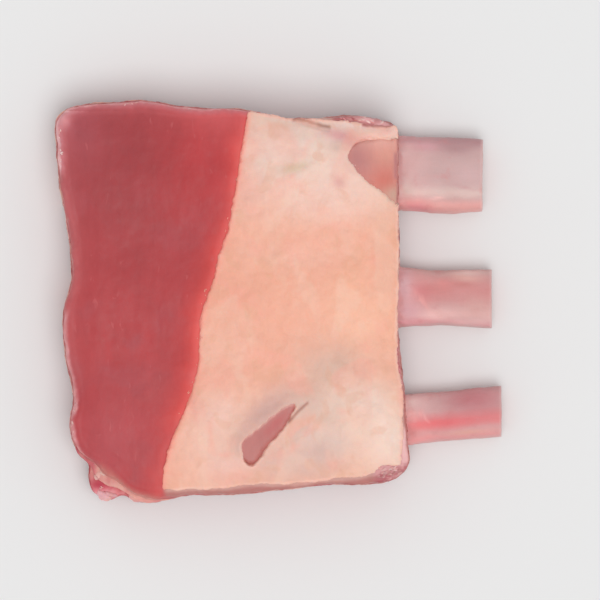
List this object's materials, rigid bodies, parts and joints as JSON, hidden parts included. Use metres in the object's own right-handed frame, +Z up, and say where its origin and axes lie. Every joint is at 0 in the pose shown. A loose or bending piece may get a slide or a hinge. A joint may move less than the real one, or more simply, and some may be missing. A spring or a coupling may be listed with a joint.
{
  "type": "raw beef short ribs",
  "caption": "Rack of raw beef short ribs: bare bone ends stick out of a thick slab of lean meat that is partly covered by a cap of fat.",
  "frame": {"origin": "centre of the rack in plan, on the surface that its bones rest on", "axes": "+X along the bones towards their bare ends, +Y across the bones towards the widest one, +Z up out of the meat side"},
  "size_m": [0.2461, 0.221, 0.0506],
  "materials": {
    "bone": "damp raw rib bone under a thin pink membrane",
    "rib_lean": "moist raw lean beef between and above the bones",
    "seam_fat": "pale raw fat in a thin seam",
    "lean": "moist raw lean beef, faintly marbled",
    "fat": "soft raw fat, cream to peach, satin"
  },
  "bodies": {
    "root": {"rib_bone_1": "bone", "rib_bone_2": "bone", "rib_bone_3": "bone", "rib_meat": "rib_lean", "seam_fat": "seam_fat", "top_muscle": "lean", "fat_cap": "fat"}
  },
  "joints": []
}
